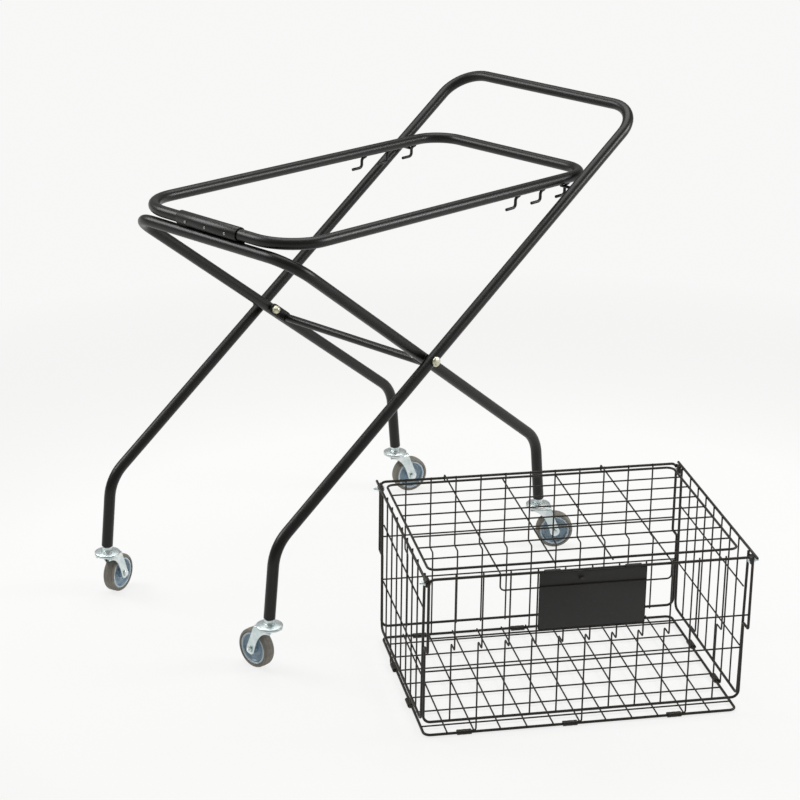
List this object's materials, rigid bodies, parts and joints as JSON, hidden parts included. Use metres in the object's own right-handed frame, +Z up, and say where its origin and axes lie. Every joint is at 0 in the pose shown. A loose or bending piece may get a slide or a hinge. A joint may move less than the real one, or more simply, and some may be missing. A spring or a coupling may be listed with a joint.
{
  "type": "folding ball cart",
  "caption": "Folding tube cart on swivel casters with a hinged top ring, and a lift-off welded wire ball basket with a hinged lid and a bare sign plate.",
  "frame": {"origin": "middle of the outer box, on the floor", "axes": "+Z up; +X along the cart from the handle frame's feet towards the push bar; +Y from the basket's side to the cart's far side"},
  "size_m": [1.0582, 1.2332, 0.9056],
  "materials": {
    "frame_paint": "black satin powder coat on steel tube",
    "wire_paint": "black satin coat on steel wire",
    "plate_paint": "dark charcoal satin coat on sheet steel",
    "zinc": "bright zinc plate on pressed steel",
    "spacer_nylon": "black nylon",
    "wheel_plastic": "blue-grey moulded plastic",
    "tyre": "grey-brown soft rubber"
  },
  "bodies": {
    "support": {"support_frame": "frame_paint", "cross_bar": "frame_paint", "hinge_sleeve": "frame_paint", "pivot_bolt_near": "zinc", "pivot_bolt_far": "zinc", "pivot_nut_near": "zinc", "pivot_nut_far": "zinc", "pivot_spacer_near": "spacer_nylon", "pivot_spacer_far": "spacer_nylon", "caster_support_near_stem": "zinc", "caster_support_far_stem": "zinc"},
    "handle": {"handle_frame": "frame_paint", "caster_handle_near_stem": "zinc", "caster_handle_far_stem": "zinc"},
    "ring": {"top_ring": "frame_paint"},
    "fork_handle_near": {"caster_handle_near_fork": "zinc", "caster_handle_near_axle_bolt": "zinc", "caster_handle_near_axle_nut": "zinc"},
    "wheel_handle_near": {"caster_handle_near_wheel": "wheel_plastic", "caster_handle_near_tyre": "tyre"},
    "fork_handle_far": {"caster_handle_far_fork": "zinc", "caster_handle_far_axle_bolt": "zinc", "caster_handle_far_axle_nut": "zinc"},
    "wheel_handle_far": {"caster_handle_far_wheel": "wheel_plastic", "caster_handle_far_tyre": "tyre"},
    "fork_support_near": {"caster_support_near_fork": "zinc", "caster_support_near_axle_bolt": "zinc", "caster_support_near_axle_nut": "zinc"},
    "wheel_support_near": {"caster_support_near_wheel": "wheel_plastic", "caster_support_near_tyre": "tyre"},
    "fork_support_far": {"caster_support_far_fork": "zinc", "caster_support_far_axle_bolt": "zinc", "caster_support_far_axle_nut": "zinc"},
    "wheel_support_far": {"caster_support_far_wheel": "wheel_plastic", "caster_support_far_tyre": "tyre"},
    "basket": {"front_panel": "wire_paint", "back_panel": "wire_paint", "left_panel": "wire_paint", "right_panel": "wire_paint", "base_grid": "wire_paint", "sign_plate": "plate_paint", "corner_bolt_front_left": "zinc", "corner_bolt_back_left": "zinc", "corner_bolt_front_right": "zinc", "corner_bolt_back_right": "zinc", "clip_front_1": "wire_paint", "clip_front_2": "wire_paint", "clip_front_3": "wire_paint", "clip_back_1": "wire_paint", "clip_back_2": "wire_paint", "clip_back_3": "wire_paint", "clip_left_1": "wire_paint", "clip_left_2": "wire_paint", "clip_right_1": "wire_paint", "clip_right_2": "wire_paint"},
    "lid": {"lid": "wire_paint"}
  },
  "joints": [
    {"name": "frame_fold", "type": "hinge", "parent": "support", "child": "handle", "pos_m": [-0.08321, 0.35285, 0.50686], "axis": [0, -1, 0], "range_deg": [0, 70]},
    {"name": "ring_hinge", "type": "hinge", "parent": "support", "child": "ring", "pos_m": [-0.42806, 0.35285, 0.791], "axis": [0, -1, 0], "range_deg": [0, 51.5]},
    {"name": "swivel_handle_near", "type": "hinge", "parent": "handle", "child": "fork_handle_near", "pos_m": [-0.50406, 0.12185, 0.085], "axis": [0, 0, 1], "continuous": true},
    {"name": "spin_handle_near", "type": "hinge", "parent": "fork_handle_near", "child": "wheel_handle_near", "pos_m": [-0.50406, 0.15685, 0.038], "axis": [-1, 0, 0], "continuous": true},
    {"name": "swivel_handle_far", "type": "hinge", "parent": "handle", "child": "fork_handle_far", "pos_m": [-0.50406, 0.58385, 0.085], "axis": [0, 0, 1], "continuous": true},
    {"name": "spin_handle_far", "type": "hinge", "parent": "fork_handle_far", "child": "wheel_handle_far", "pos_m": [-0.47054, 0.5939, 0.038], "axis": [-0.2874, 0.9578, 0], "continuous": true},
    {"name": "swivel_support_near", "type": "hinge", "parent": "support", "child": "fork_support_near", "pos_m": [0.28394, 0.14785, 0.085], "axis": [0, 0, 1], "continuous": true},
    {"name": "spin_support_near", "type": "hinge", "parent": "fork_support_near", "child": "wheel_support_near", "pos_m": [0.30945, 0.12389, 0.038], "axis": [0.6845, 0.729, 0], "continuous": true},
    {"name": "swivel_support_far", "type": "hinge", "parent": "support", "child": "fork_support_far", "pos_m": [0.28394, 0.55785, 0.085], "axis": [0, 0, 1], "continuous": true},
    {"name": "spin_support_far", "type": "hinge", "parent": "fork_support_far", "child": "wheel_support_far", "pos_m": [0.31653, 0.54507, 0.038], "axis": [0.3649, 0.9311, 0], "continuous": true},
    {"name": "basket_lift", "type": "slide", "parent": "support", "child": "basket", "axis": [0, 0, 1], "range_m": [0, 0.4]},
    {"name": "lid_hinge", "type": "hinge", "parent": "basket", "child": "lid", "pos_m": [-0.01438, -0.07816, 0.314], "axis": [-0.8171, 0.5764, 0], "range_deg": [0, 90]}
  ],
  "couplings": [
    {"joint": "ring_hinge", "follows": "frame_fold", "ratio": 0.73}
  ]
}
